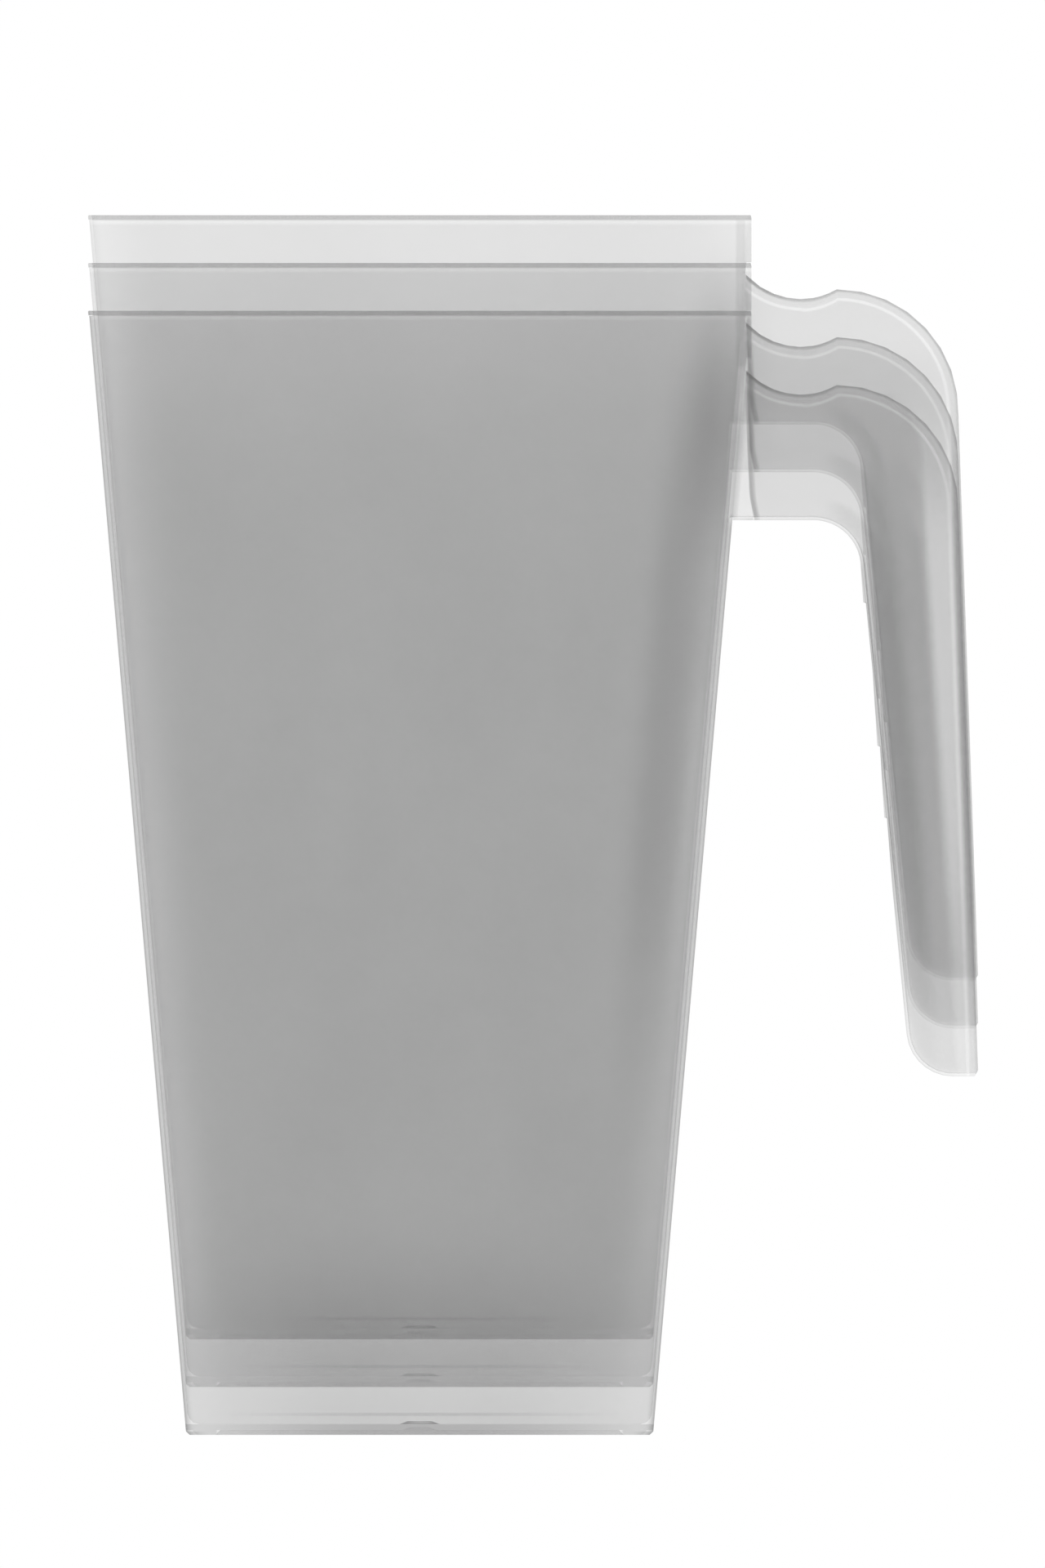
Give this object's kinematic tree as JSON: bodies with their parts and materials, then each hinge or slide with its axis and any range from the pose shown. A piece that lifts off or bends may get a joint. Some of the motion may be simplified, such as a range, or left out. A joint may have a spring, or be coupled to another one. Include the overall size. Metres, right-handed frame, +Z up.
{
  "type": "stack of beer pitchers",
  "caption": "Nest of square, tapered pitchers in frosted plastic, each moulded in one piece with an open hook handle that starts at a mouth in the wall. They lift apart to carry and pour drinks.",
  "frame": {"origin": "middle of the lowest pitcher's foot, on the surface that the nest stands on", "axes": "+Z up, +X towards the handles, +Y across the handles"},
  "size_m": [0.1825, 0.136, 0.25],
  "materials": {
    "frosted_polypropylene": "frosted, translucent"
  },
  "bodies": {
    "bottom_pitcher": {"bottom_pitcher": "frosted_polypropylene"},
    "middle_pitcher": {"middle_pitcher": "frosted_polypropylene"},
    "top_pitcher": {"top_pitcher": "frosted_polypropylene"}
  },
  "joints": [
    {"name": "middle_lift", "type": "slide", "parent": "bottom_pitcher", "child": "middle_pitcher", "axis": [0, 0, 1], "range_m": [0, 0.24]},
    {"name": "top_lift", "type": "slide", "parent": "middle_pitcher", "child": "top_pitcher", "axis": [0, 0, 1], "range_m": [0, 0.24]}
  ]
}
